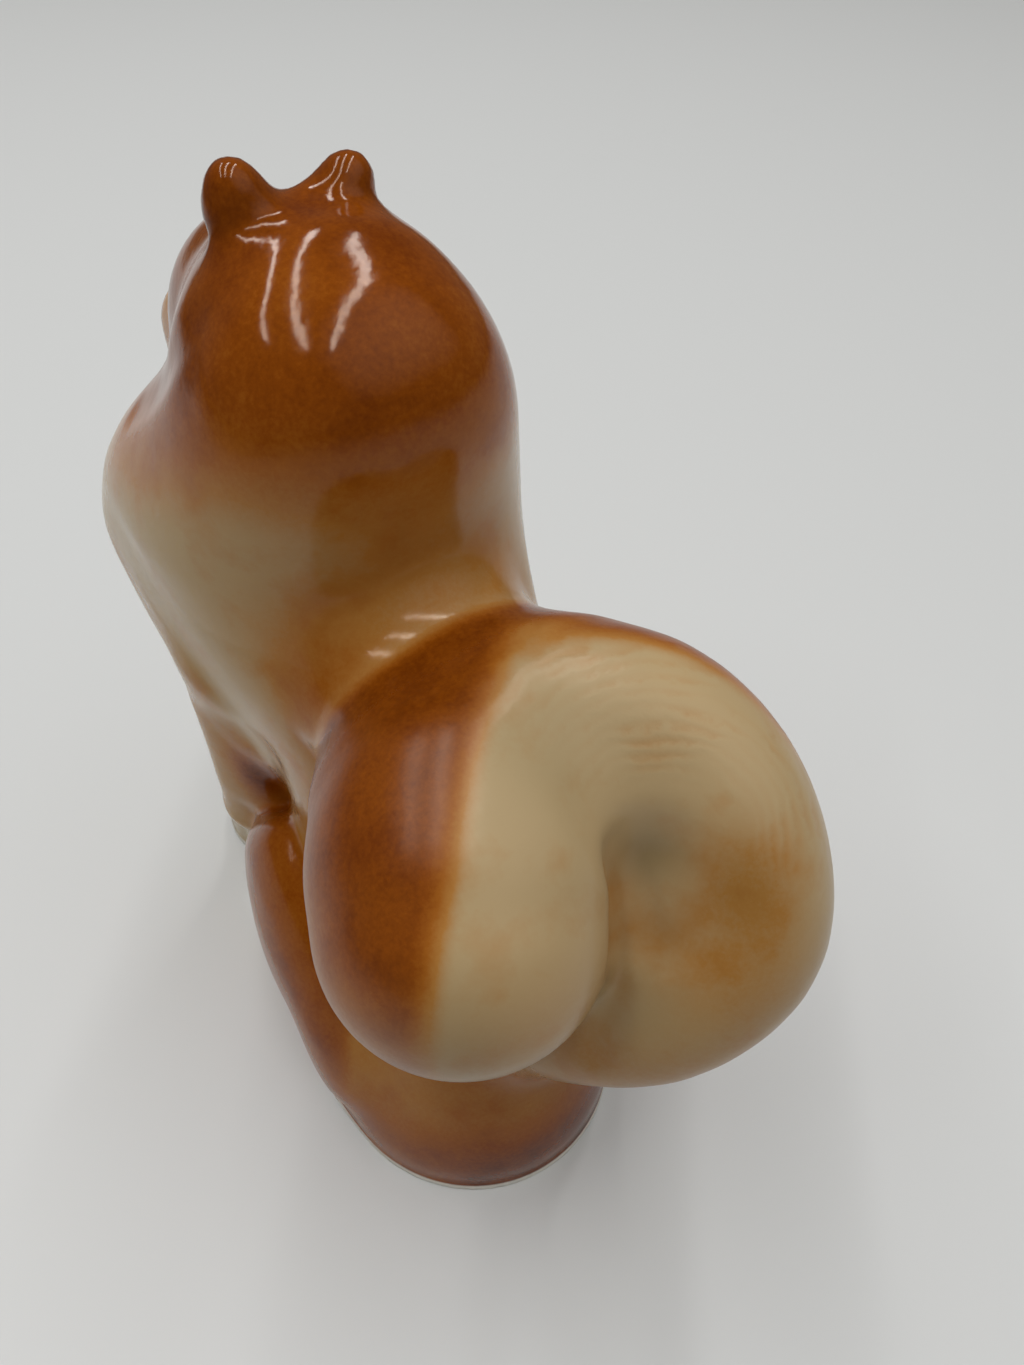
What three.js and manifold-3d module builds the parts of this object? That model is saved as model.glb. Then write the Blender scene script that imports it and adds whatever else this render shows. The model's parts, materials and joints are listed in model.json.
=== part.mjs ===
// A sitting spitz dog in glazed porcelain, about 96 mm tall, luted together from slip castings and pressed
// limbs. Millimetres, +Z up. The dog faces -Y, so +X is its left. The origin is on the table under the rump.
import * as THREE from 'three';
import { mergeVertices } from 'three/addons/utils/BufferGeometryUtils.js';
import Module from 'manifold-3d';

const wasm = await Module();
wasm.setup();

// Wall of the two drain-cast hollows, and the film of slip that parts two castings at a lute.
const WALL = 3.2;
const LUTE = 0.3;

// Turns the rise of each station over the one before it into heights over the table.
function stacked(stations) {
  let z = 0;
  return Object.fromEntries(Object.entries(stations).map(([name, { rise, ...sizes }]) => {
    z += rise;
    return [name, { z, ...sizes }];
  }));
}

// Upright body from the foot ring to the crown, as level ovals. keel and full shape the front and back half:
// 2 is a true oval, less draws it to an edge and more squares it. rise is the height over the level below.
const BODY = stacked({
  foot: { rise: 0, half: 15.5, front: -15.5, widest: 0, back: 15.8, keel: 2, full: 2 },
  heel: { rise: 2.5, half: 16.3, front: -16.5, widest: -0.5, back: 16.8, keel: 2, full: 2 },
  rump: { rise: 7.5, half: 15.8, front: -22, widest: -2, back: 16.8, keel: 2, full: 2 },
  belly: { rise: 11, half: 13.8, front: -29.5, widest: -6, back: 14.6, keel: 1.8, full: 2.1 },
  loin: { rise: 11, half: 12, front: -36, widest: -11, back: 10.5, keel: 1.6, full: 2.2 },
  flank: { rise: 9.5, half: 12.8, front: -42, widest: -15, back: 6.6, keel: 1.6, full: 2.3 },
  shoulder: { rise: 10.5, half: 14.5, front: -46.5, widest: -21.5, back: 1.6, keel: 1.9, full: 2.3 },
  waist: { rise: 9, half: 16.8, front: -47.5, widest: -28, back: -4.4, keel: 2.3, full: 2.3 },
  ruff: { rise: 7, half: 17.7, front: -45.5, widest: -28.2, back: -6.4, keel: 2.3, full: 2.3 },
  mane: { rise: 7.5, half: 14.9, front: -37.5, widest: -20.3, back: -4.9, keel: 2.3, full: 2.3 },
  nape: { rise: 5.5, half: 12.9, front: -29, widest: -16.8, back: -3.7, keel: 2.3, full: 2.3 },
  brow: { rise: 5, half: 10.8, front: -28, widest: -16.6, back: -5, keel: 2.3, full: 2.3 },
  poll: { rise: 4, half: 7.6, front: -26, widest: -17.4, back: -8.8, keel: 2.2, full: 2.2 },
  pate: { rise: 2, half: 4.4, front: -22.8, widest: -18, back: -13.2, keel: 2, full: 2 },
  crown: { rise: 0.8, half: 0, front: -18, widest: -18, back: -18, keel: 2, full: 2 },
});
// The head sits on the trunk at a level ring a little over the waist. The foot has a vent for the firing.
const NECK_OVER_WAIST = 1;
const FOOT_VENT = { radius: 5, y: -7 };
// Between the haunches and the ruff the back leans to the dog's right, most at one level.
const LEAN = { most: -1.8, z: BODY.flank.z + 6, reach: 13 };

// Skull and muzzle, by distance ahead of the poll. lift is how far an oval's middle is over the axis.
const HEAD = {
  occiput: { ahead: -9, half: 0, tall: 0, lift: 0 },
  poll: { ahead: -7.5, half: 4.4, tall: 5, lift: 0 },
  skull: { ahead: -1, half: 7.8, tall: 8.8, lift: 0 },
  cheek: { ahead: 6, half: 8.2, tall: 9, lift: -0.4 },
  eyes: { ahead: 11, half: 7.4, tall: 8, lift: -1.2 },
  stop: { ahead: 14.5, half: 6, tall: 6.2, lift: -2.6 },
  muzzle: { ahead: 18, half: 5, tall: 5, lift: -3.6 },
  lip: { ahead: 22, half: 4.6, tall: 4.7, lift: -3.8 },
  nose: { ahead: 24.8, half: 3.4, tall: 3.4, lift: -3.2 },
  tip: { ahead: 26, half: 0, tall: 0, lift: -2.6 },
};
const HEAD_PLACE = { y: -21.5, underCrown: 9.8, turn: 8.5, droop: 11 };

// Ear: a blunt cone that stands in the crown, dished in front. Its outer edge is upright and its inner edge
// runs down to the middle of the crown, so its foot is nearer the middle than its tip.
const EAR = {
  root: { z: 0, half: 4.6, deep: 2.7, x: -1.9, y: 0 },
  flare: { z: 4.5, half: 3.9, deep: 2.5, x: -1.1, y: 0 },
  blade: { z: 7.5, half: 2.7, deep: 1.9, x: -0.2, y: 0.1 },
  point: { z: 9.6, half: 1.5, deep: 1.2, x: 0.2, y: 0.2 },
  tip: { z: 10.4, half: 0, deep: 0, x: 0.3, y: 0.3 },
};
const EAR_PLACE = { x: 3.6, y: -20.5, underCrown: 7.4, splay: 3, tilt: -6 };
const EAR_DISH = { half: 1.6, deep: 1.4, tall: 3.4, z: 6.4, y: -2.5 };

// Foreleg from the sole up to the trunk's shoulder and under the ruff, as level ovals.
const RUFF_OVER_FORELEG = 2;
const FORELEG = {
  sole: { z: 0, x: 9, y: -45, half: 4.7, deep: 6.6 },
  paw: { z: 3.5, x: 9, y: -45, half: 5.3, deep: 7.2 },
  instep: { z: 8, x: 8.9, y: -42, half: 4.9, deep: 6 },
  pastern: { z: 14, x: 8.8, y: -39.6, half: 4.8, deep: 5.6 },
  forearm: { z: 27, x: 8.8, y: -37.8, half: 5.3, deep: 6.4 },
  elbow: { z: 39, x: 9.3, y: -35.6, half: 6, deep: 8.8 },
  shoulder: { z: BODY.shoulder.z, x: 10, y: -33.6, half: 6.8, deep: 11.4 },
  point: { z: BODY.waist.z, x: 10.6, y: -34.4, half: 5.8, deep: 9.2 },
  top: { z: BODY.ruff.z - RUFF_OVER_FORELEG, x: 10, y: -37, half: 0, deep: 0 },
};

// Haunch from the rear forward to the knee, as upright ovals, flat where it meets the table.
const HAUNCH = {
  rear: { y: 5, x: 9, z: 9, half: 0, tall: 0 },
  hip: { y: 1.5, x: 9.6, z: 10.5, half: 6.2, tall: 10 },
  thigh: { y: -7, x: 10.2, z: 15, half: 8.2, tall: 17 },
  stifle: { y: -17, x: 10.6, z: 17, half: 7.6, tall: 18.6 },
  knee: { y: -27, x: 10.2, z: 16.5, half: 5, tall: 13 },
  front: { y: -31.5, x: 9.8, z: 15, half: 0, tall: 0 },
};

// Hind paw from under the knee forward to the toes, as upright ovals.
const HIND_PAW = {
  heel: { y: -17, x: 11, z: 2.6, half: 0, tall: 0 },
  hock: { y: -20, x: 11, z: 2.8, half: 3.8, tall: 4.4 },
  instep: { y: -28, x: 11.3, z: 3, half: 4.6, tall: 5.2 },
  toes: { y: -34.2, x: 11.5, z: 2.6, half: 4.6, tall: 4.4 },
  claws: { y: -37.6, x: 11.5, z: 2.2, half: 0, tall: 0 },
};

// Tail: a plume that leaves the rump, curls up over the dog's right and comes back down over its own root.
const TAIL = {
  root: { x: -1.5, y: 7, z: 23, radius: 6.5 },
  rise: { x: -2.9, y: 13.5, z: 31, radius: 7.2 },
  sweep: { x: -7.8, y: 20.2, z: 37.9, radius: 7.3 },
  bend: { x: -13.6, y: 21.8, z: 44.1, radius: 7.4 },
  right: { x: -16, y: 19.2, z: 49.3, radius: 7.3 },
  climb: { x: -16, y: 14, z: 54.3, radius: 7.6 },
  top: { x: -13, y: 8.4, z: 57.4, radius: 8.2 },
  crest: { x: -7.3, y: 4.6, z: 57.7, radius: 9 },
  fall: { x: -2.6, y: 4.2, z: 56.6, radius: 9.8 },
};
// The brush of the tail, an egg that lies over the root, and the web that closes the eye of the curl.
const BRUSH = {
  start: { ...TAIL.fall, radius: 10.2 },
  plume: { x: 1.9, y: 6.5, z: 54.8, radius: 12.1 },
  full: { x: 4.6, y: 10.2, z: 52.2, radius: 12.5 },
  end: { x: 6, y: 12.6, z: 50.6, radius: 11.9 },
};
const EYE_WEB = { across: [TAIL.right, BRUSH.full], down: [TAIL.top, TAIL.sweep], radius: 9.5, thick: 4.2 };

const GLAZES = {
  rust: { color: 0x8c4412, roughness: 0.14, metalness: 0 },
  tan: { color: 0xb68a62, roughness: 0.14, metalness: 0 },
  white: { color: 0xe9e4da, roughness: 0.14, metalness: 0 },
};

// How finely the skins are divided.
const AROUND = { body: 40, head: 28, ear: 16, limb: 20, paw: 16, tail: 24 };
const STEPS = { body: 2, head: 2, ear: 3, limb: 3, paw: 3, tail: 3 };
const DOME_STEPS = 5;
const BEYOND = 200;

const UP = new THREE.Vector3(0, 0, 1);
const LEFT = new THREE.Vector3(1, 0, 0);
const REAR = new THREE.Vector3(0, 1, 0);
const FORWARD = new THREE.Vector3(0, -1, 0);

const point = (x, y, z) => new THREE.Vector3(x, y, z);
const degrees = THREE.MathUtils.degToRad;

function solidOf(geometry) {
  geometry.deleteAttribute('normal');
  geometry.deleteAttribute('uv');
  const welded = mergeVertices(geometry);
  return new wasm.Manifold(new wasm.Mesh({
    numProp: 3,
    vertProperties: welded.attributes.position.array,
    triVerts: Uint32Array.from(welded.index.array),
  }));
}

// In-between stations, so many to each gap, on a smooth run through the named ones.
function smoothRun(stations, steps) {
  const named = Object.values(stations);
  const fields = Object.keys(named[0]);
  const values = named.flatMap((station) => fields.map((field) => station[field]));
  const run = new THREE.CubicInterpolant(named.map((_, place) => place), values, fields.length);
  return Array.from({ length: (named.length - 1) * steps + 1 }, (_, row) => {
    const found = run.evaluate(row / steps);
    return Object.fromEntries(fields.map((field, place) => [field, found[place]]));
  });
}

// Closed skin over a run of rings, with a fan from each end ring to a point.
function skin(rings, start, end) {
  const around = rings[0].length;
  const startAt = rings.length * around;
  const lastRing = startAt - around;
  const faces = [];
  for (let column = 0; column < around; column += 1) {
    const next = (column + 1) % around;
    faces.push(startAt, next, column, startAt + 1, lastRing + column, lastRing + next);
    for (let ring = 0; ring < lastRing; ring += around) {
      faces.push(ring + column, ring + next, ring + around + column);
      faces.push(ring + next, ring + around + next, ring + around + column);
    }
  }
  const geometry = new THREE.BufferGeometry().setFromPoints([...rings.flat(), start, end]);
  geometry.setIndex(faces);
  return solidOf(geometry);
}

function oval(middle, across, upward, half, tall, around) {
  return Array.from({ length: around }, (_, column) => {
    const turn = (2 * Math.PI * column) / around;
    const spot = middle.clone().addScaledVector(across, half * Math.cos(turn));
    return spot.addScaledVector(upward, tall * Math.sin(turn));
  });
}

// The upright body, grown outwards by a distance, or shrunk by a negative one.
function bodySolid(grow) {
  const crown = BODY.crown.z;
  const level = (z) => z * (crown + 2 * grow) / crown - grow;
  const lean = (z) => LEAN.most * Math.exp(-(((z - LEAN.z) / LEAN.reach) ** 2));
  const rows = smoothRun(BODY, STEPS.body).filter((row) => row.half + grow > WALL / 2);
  const rings = rows.map((row) => Array.from({ length: AROUND.body }, (_, column) => {
    const turn = (2 * Math.PI * column) / AROUND.body;
    const ahead = Math.sin(turn) < 0;
    const reach = ahead ? row.widest - row.front : row.back - row.widest;
    const swell = (side) => Math.sign(side) * Math.abs(side) ** (2 / (ahead ? row.keel : row.full));
    const across = (row.half + grow) * swell(Math.cos(turn));
    return point(across + lean(row.z), row.widest + (reach + grow) * swell(Math.sin(turn)), level(row.z));
  }));
  return skin(rings, point(0, BODY.foot.widest, level(0)), point(0, BODY.crown.widest, level(crown)));
}

function headSolid(grow) {
  const { y, underCrown, turn, droop } = HEAD_PLACE;
  const z = BODY.crown.z - underCrown;
  const pose = new THREE.Euler(degrees(droop), 0, degrees(turn), 'ZXY');
  const rows = smoothRun(HEAD, STEPS.head);
  const middle = (row) => point(0, y - row.ahead, z + row.lift);
  const rings = rows.slice(1, -1)
    .map((row) => oval(middle(row), LEFT, UP, row.half + grow, row.tall + grow, AROUND.head));
  const poll = point(0, y, z);
  const place = (spot) => spot.sub(poll).applyEuler(pose).add(poll);
  rings.flat().forEach(place);
  return skin(rings, place(middle(rows[0])), place(middle(rows.at(-1))));
}

// An ear on the dog's left (side 1) or right (side -1). The head is held a little to its right.
function earSolid(side) {
  const rows = smoothRun(EAR, STEPS.ear);
  const middle = (row) => point(side * row.x, row.y, row.z);
  const rings = rows.slice(0, -1)
    .map((row) => oval(middle(row), LEFT, REAR, row.half, row.deep, AROUND.ear));
  const dish = new THREE.SphereGeometry(1, AROUND.ear, AROUND.ear / 2);
  dish.scale(EAR_DISH.half, EAR_DISH.deep, EAR_DISH.tall).translate(0, EAR_DISH.y, EAR_DISH.z);
  const { x, y, underCrown, splay, tilt } = EAR_PLACE;
  const blade = skin(rings, middle(rows[0]), middle(rows.at(-1))).subtract(solidOf(dish));
  const stood = blade.rotate([0, side * splay, 0]).translate([side * x, 0, -EAR.tip.z]);
  return stood.rotate([0, tilt, 0]).translate([0, y, BODY.crown.z - underCrown + EAR.tip.z]);
}

function forelegSolid(grow) {
  const rows = smoothRun(FORELEG, STEPS.limb);
  const middle = (row) => point(row.x, row.y, row.z);
  const rings = rows.slice(0, -1)
    .map((row) => oval(middle(row), LEFT, REAR, row.half + grow, row.deep + grow, AROUND.limb));
  return skin(rings, middle(rows[0]), middle(rows.at(-1)));
}

// A limb of upright ovals that runs forward, down to the table and no lower.
function forwardLimb(stations, steps, around, grow) {
  const rows = smoothRun(stations, steps);
  const middle = (row) => point(row.x, row.y, row.z);
  const rings = rows.slice(1, -1)
    .map((row) => oval(middle(row), LEFT, UP, row.half + grow, row.tall + grow, around));
  const rear = middle(rows[0]).addScaledVector(REAR, grow);
  const front = middle(rows.at(-1)).addScaledVector(FORWARD, grow);
  return skin(rings, rear, front).intersect(blockOver(0));
}

// Round tube along a run of the tail's stations, domed at both ends.
function plume(stations) {
  const rows = smoothRun(stations, STEPS.tail);
  const spine = new THREE.CatmullRomCurve3(rows.map((row) => point(row.x, row.y, row.z)));
  const tangents = rows.map((_, place) => spine.getTangent(place / (rows.length - 1)));
  const frames = [];
  let side = LEFT.clone();
  tangents.forEach((along) => {
    side = side.clone().addScaledVector(along, -side.dot(along)).normalize();
    frames.push({ along, side, upward: along.clone().cross(side) });
  });
  const onSpine = (row, frame, ahead) => point(row.x, row.y, row.z).addScaledVector(frame.along, ahead);
  const ringAt = (row, frame, ahead, radius) => (
    oval(onSpine(row, frame, ahead), frame.side, frame.upward, radius, radius, AROUND.tail)
  );
  const dome = (row, frame, sign) => Array.from({ length: DOME_STEPS }, (_, step) => {
    const turn = (Math.PI / 2) * ((step + 1) / (DOME_STEPS + 1));
    return ringAt(row, frame, sign * row.radius * Math.sin(turn), row.radius * Math.cos(turn));
  });
  const tube = rows.map((row, place) => ringAt(row, frames[place], 0, row.radius));
  const first = [rows[0], frames[0]];
  const last = [rows.at(-1), frames.at(-1)];
  const rings = [...dome(...first, -1).reverse(), ...tube, ...dome(...last, 1)];
  return skin(rings, onSpine(...first, -first[0].radius), onSpine(...last, last[0].radius));
}

function tailSolid() {
  const [right, left] = EYE_WEB.across.map((station) => point(station.x, station.y, station.z));
  const [top, bottom] = EYE_WEB.down.map((station) => point(station.x, station.y, station.z));
  const middle = point(0, 0, 0).add(right).add(left).add(top).add(bottom).divideScalar(4);
  const facing = right.clone().sub(left).cross(bottom.clone().sub(top)).normalize();
  const web = new THREE.SphereGeometry(EYE_WEB.radius, AROUND.tail, AROUND.tail / 2);
  web.scale(1, 1, EYE_WEB.thick / EYE_WEB.radius);
  web.applyQuaternion(new THREE.Quaternion().setFromUnitVectors(UP, facing));
  web.translate(middle.x, middle.y, middle.z);
  return plume(TAIL).add(plume(BRUSH)).add(solidOf(web));
}

function blockOver(z) {
  return solidOf(new THREE.BoxGeometry(BEYOND, BEYOND, BEYOND).translate(0, 0, z + BEYOND / 2));
}

function mirrored(solid) {
  return solid.mirror([1, 0, 0]);
}

const body = bodySolid(0);
const bodyBed = bodySolid(LUTE);
const hollow = bodySolid(-WALL);
const ventCutter = new THREE.CylinderGeometry(FOOT_VENT.radius, FOOT_VENT.radius, 4 * WALL, AROUND.limb);
const vent = solidOf(ventCutter.rotateX(Math.PI / 2).translate(0, FOOT_VENT.y, 0));

const neckZ = BODY.waist.z + NECK_OVER_WAIST;
const trunk = body.subtract(blockOver(neckZ)).subtract(hollow).subtract(vent);
const headBed = bodyBed.add(headSolid(LUTE));
const head = body.add(headSolid(0)).intersect(blockOver(neckZ + LUTE)).subtract(hollow);

const group = new THREE.Group();

function addPart(name, solid, glaze) {
  const { vertProperties, triVerts } = solid.getMesh();
  const geometry = new THREE.BufferGeometry();
  geometry.setAttribute('position', new THREE.BufferAttribute(Float32Array.from(vertProperties), 3));
  geometry.setIndex(Array.from(triVerts));
  geometry.computeVertexNormals();
  const mesh = new THREE.Mesh(geometry, new THREE.MeshStandardMaterial(GLAZES[glaze]));
  mesh.name = name;
  group.add(mesh);
}

const haunch = forwardLimb(HAUNCH, STEPS.limb, AROUND.limb, 0);
const haunchBed = forwardLimb(HAUNCH, STEPS.limb, AROUND.limb, LUTE);
const foreleg = forelegSolid(0).subtract(haunchBed);
const hindPaw = forwardLimb(HIND_PAW, STEPS.paw, AROUND.paw, 0)
  .subtract(haunchBed).subtract(forelegSolid(LUTE));
const tail = tailSolid().subtract(bodyBed).subtract(haunchBed).subtract(mirrored(haunchBed));

addPart('trunk_shell', trunk, 'tan');
addPart('head_shell', head, 'rust');
addPart('left_ear', earSolid(1).subtract(headBed), 'rust');
addPart('right_ear', earSolid(-1).subtract(headBed), 'rust');
addPart('left_foreleg', foreleg.subtract(bodyBed), 'white');
addPart('right_foreleg', mirrored(foreleg).subtract(bodyBed), 'white');
addPart('left_haunch', haunch.subtract(bodyBed), 'tan');
addPart('right_haunch', mirrored(haunch).subtract(bodyBed), 'tan');
addPart('left_hind_paw', hindPaw.subtract(bodyBed), 'white');
addPart('right_hind_paw', mirrored(hindPaw).subtract(bodyBed), 'white');
addPart('tail_curl', tail, 'tan');

export default group;
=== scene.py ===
"""A sitting spitz dog in glazed porcelain: the glazed skin and the sprayed colour of each casting."""
import itertools
import json
import math

import bpy
import numpy as np
import openvdb
from mathutils import Matrix, Vector


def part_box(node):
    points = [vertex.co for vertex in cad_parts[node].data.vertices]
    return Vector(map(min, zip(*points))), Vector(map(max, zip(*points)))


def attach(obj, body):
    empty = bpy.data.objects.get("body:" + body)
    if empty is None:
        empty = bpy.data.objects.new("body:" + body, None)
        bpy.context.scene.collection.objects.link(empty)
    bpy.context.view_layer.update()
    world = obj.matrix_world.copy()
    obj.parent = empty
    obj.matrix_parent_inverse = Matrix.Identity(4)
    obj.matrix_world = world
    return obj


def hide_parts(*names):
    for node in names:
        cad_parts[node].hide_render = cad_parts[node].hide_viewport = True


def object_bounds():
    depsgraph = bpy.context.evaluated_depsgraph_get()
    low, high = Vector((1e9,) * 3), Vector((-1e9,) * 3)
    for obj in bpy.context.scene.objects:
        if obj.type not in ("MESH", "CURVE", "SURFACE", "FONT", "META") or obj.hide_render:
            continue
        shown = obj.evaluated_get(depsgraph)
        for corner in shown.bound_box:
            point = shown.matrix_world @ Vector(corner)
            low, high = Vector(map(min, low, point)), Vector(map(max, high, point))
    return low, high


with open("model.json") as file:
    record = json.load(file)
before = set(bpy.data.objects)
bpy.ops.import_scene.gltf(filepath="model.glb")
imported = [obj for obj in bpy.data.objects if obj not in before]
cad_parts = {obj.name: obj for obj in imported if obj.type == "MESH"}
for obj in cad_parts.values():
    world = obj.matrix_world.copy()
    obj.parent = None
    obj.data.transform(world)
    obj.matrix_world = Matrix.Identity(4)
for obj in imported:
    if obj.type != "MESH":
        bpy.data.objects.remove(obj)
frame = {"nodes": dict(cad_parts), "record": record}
CAD_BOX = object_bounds()

# Clay is worked in millimetres, as distances to its skin on a regular grid of samples.
MM = 0.001
CELL = 0.5
BAND = 9.0
MARGIN = 5.0
CORNER = np.floor((np.array(CAD_BOX[0]) / MM - MARGIN) / CELL).astype(int)
SHAPE = tuple(int(n) for n in np.ceil((np.array(CAD_BOX[1]) / MM + MARGIN) / CELL).astype(int) - CORNER)
SAMPLES = [(CORNER[axis] + np.arange(SHAPE[axis])) * CELL for axis in range(3)]
GRID = np.meshgrid(*SAMPLES, indexing="ij", sparse=True)
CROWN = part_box("head_shell")[1].z / MM
NECK = (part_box("trunk_shell")[1].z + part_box("head_shell")[0].z) / 2 / MM
# The dog's left side, then its right.
SIDES = (1, -1)

# How far each casting is rubbed down before it is luted on. The body is the trunk and the head.
RUBBED = {
    "body": 1.3, "left_ear": 0.55, "right_ear": 0.55, "left_foreleg": 0.9, "right_foreleg": 0.9,
    "left_haunch": 1.2, "right_haunch": 1.2, "left_hind_paw": 0.8, "right_hind_paw": 0.8, "tail_curl": 1.1,
}
JOINED = [name for name in RUBBED if name != "body"]
GLAZE_FLOW = 0.4
GLAZE_SKIN = 0.8

# The neck joint is closed over this height on either side. A gap with clay on this many of its six
# sides is part of the hollow.
NECK_JOINT = 1.2
HOLLOW_SIDES = 5
# What stands on the table is worked this much too long, then cut flush with the table.
FOOT_ALLOWANCE = 4.0
HEEL = 2.5
FOOT_RIM = {"high": 1.0, "out": 0.25}
FOOT_VENT = {"radius": 5.0, "y": -7.0, "deep": 5.0, "soft": 0.6}
# The top of each haunch is pared to a slope that falls towards the knee.
HAUNCH_SLOPE = {"y": -17.0, "z": 36.0, "fall": 1.15, "soft": 4.0}
# The slip that seats an ear makes it this much thicker from front to back.
EAR_FULLNESS = 1.4
# Rolls of clay pressed along the back of the left foreleg, and in mirror on the right: path and radius.
FORELEG_ROLLS = {
    "elbow": ([(11.6, -33, 20), (11.9, -31, 28), (11.9, -28.5, 41), (11.4, -25, 50)], 3.8),
    "wrist": ([(11, -35.5, 7), (11.4, -33.8, 18)], 2.4),
    "web": ([(8.4, -30.5, 16), (8.6, -29.5, 28), (8.8, -27, 38)], 3.2),
    "elbow_back": ([(9.3, -27, 28), (9.6, -25.6, 34), (9.7, -24, 40)], 3.2),
}
ROLL_SOFT = 4.0

# How wide the slip fills each joint, and where it is wider.
EAR_FILLET = {"least": 0.9, "wider": 1.5, "edge": 1.5, "behind": 0.6}
FORELEG_FILLET = {"least": 1.6, "wider": 7.0, "height": (28, 50)}
HAUNCH_FILLET = {"least": 1.8, "wider": 4.5, "back": (-16, -2), "height": (30, 16)}
TAIL_FILLET = {"least": 1.2, "saddle": 7.3, "height": (50, 57), "front": (6, 0), "root": 4.0,
               "root_height": (38, 30)}
PAW_FILLET = 1.2

# The head's own frame, as in the part: a pivot under the crown, turned to the left and drooped.
HEAD_PIVOT = {"y": -21.5, "under_crown": 9.8}
HEAD_TURN = math.radians(8.5)
HEAD_DROOP = math.radians(11)
# The face, by the head's own frame: to the side, ahead of the pivot and over it.
EYE = {"side": 3.2, "ahead": 14.6, "up": 1.4, "radius": 1.15, "soft": 0.5, "ink": 1.05}
NOSE = {"half": 0.7, "ahead": 25.4, "up": -3.0, "radius": 1.3, "soft": 0.6, "ink": 1.1}
MOUTH = {"radius": 0.3, "soft": 0.5, "ink": 0.26,
         "line": [(0, 25.6, -4.4), (0, 25.2, -5.6), (1.6, 24.6, -6.2), (2.8, 23.2, -6.6), (3.6, 21.4, -6.5),
                  (4.3, 19.2, -5.8)]}
# Grooves between the toes. Each point: how far back it lies, how high, and how much of the spread is left.
TOES = {"across": (-2.3, 0.0, 2.3), "radius": 0.75, "soft": 0.8}
TOE_START = 0.4
TOE_LINE = [(0.2, 0.35, 1.0), (1.6, 0.75, 0.95), (4.0, 1.0, 0.9)]
PAW_HEIGHT = {"left_foreleg": 8.0, "right_foreleg": 8.0, "left_hind_paw": 6.0, "right_hind_paw": 6.0}

# The fold in front of the ruff, from the left ear to the ruff's corner, then the shoulder behind it.
RUFF_FOLD = {"radius": 3.0, "depth": 0.3, "soft": 1.2,
             "path": [(10, -17, 87.2), (11, -18, 85.3), (12, -20.5, 82.5), (13, -24.5, 79), (13.6, -29, 75.6)]}
SHOULDER = {"reach": 9.0, "sigma": 2.6,
            "spots": [(16.2, -28, 58.5), (15.6, -19.3, 60), (13.9, -15.3, 57), (12.8, -14, 52)]}
# The valley of the curl, its eye, and the crease where the brush lies on the ring.
CURL_VALLEY = {"reach": 8.0, "sigma": 1.8,
               "spots": [(-6.4, 13.5, 59.5), (-8.1, 14.8, 58.6), (-8.1, 17.8, 52), (-6.8, 19.5, 48.3),
                         (-4.8, 21.5, 45.4)]}
CURL_EYE = {"radius": 2.6, "depth": 1.1, "soft": 2.6,
            "path": [(-8.2, 15.1, 55), (-7.7, 16.2, 53.8), (-6.7, 17.4, 51.9), (-5.4, 18.7, 49)]}
BRUSH_CREASE = {"radius": 1.2, "depth": 0.6, "soft": 1.4,
                "path": [(-4.6, 17.2, 57), (-5.1, 17.8, 54), (-5.3, 18.4, 49.6), (-4.7, 19.5, 46.4),
                         (-3.5, 20.8, 44), (-1.8, 21.9, 41.6), (-0.2, 22.3, 37.7)]}
# Where the back turns out to meet the top of the brush.
SADDLE = {"reach": 9.0, "sigma": 2.5, "spots": [(7, -4, 61), (2, -4.5, 62.5), (-4, -4.5, 63)]}
# A trough runs out at its ends: the part of a half wave that its depth follows.
TROUGH_ENDS = (0.12, 0.88)
# A slow twist of the crown's skin, which bends the reflected lamps.
TWIST = {"about": (4.0, -13.5), "reach": 7.0, "tilt": 0.06, "wave": 7.5, "start": -17.0, "height": (80, 86)}


def ramp(low, high, value):
    """A smooth step from 0 to 1 as value goes from low to high."""
    share = np.clip((value - low) / (high - low), 0, 1)
    return share * share * (3 - 2 * share)


def node_mesh(name):
    """Points and triangles of a CAD solid, with a longer foot and fuller ears."""
    data = frame["nodes"][name].data
    data.calc_loop_triangles()
    points = np.empty(len(data.vertices) * 3, np.float32)
    data.vertices.foreach_get("co", points)
    faces = np.empty(len(data.loop_triangles) * 3, np.int32)
    data.loop_triangles.foreach_get("vertices", faces)
    points = points.reshape(-1, 3) / MM
    if name.endswith("ear"):
        points[:, 1] += (EAR_FULLNESS - 1) * (points[:, 1] - points[:, 1].mean())
    points[points[:, 2] < CELL / 5, 2] -= FOOT_ALLOWANCE
    return points, faces.reshape(-1, 3)


def clay_from(points, triangles=None, quads=None):
    """Distances to a closed skin, less than nought inside it."""
    faces = {key: value.astype(np.uint32) for key, value in (("triangles", triangles), ("quads", quads))
             if value is not None}
    grid = openvdb.FloatGrid.createLevelSetFromPolygons(
        points.astype(np.float32), transform=openvdb.createLinearTransform(CELL), halfWidth=BAND / CELL, **faces)
    clay = np.empty(SHAPE, np.float32)
    grid.copyToArray(clay, ijk=tuple(int(c) for c in CORNER))
    return clay


def skin_of(clay):
    """Points and quads of the skin of the clay."""
    grid = openvdb.FloatGrid(BAND)
    grid.copyFromArray(clay, ijk=tuple(int(c) for c in CORNER))
    grid.transform = openvdb.createLinearTransform(CELL)
    return grid.convertToQuads(0.0)


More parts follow.
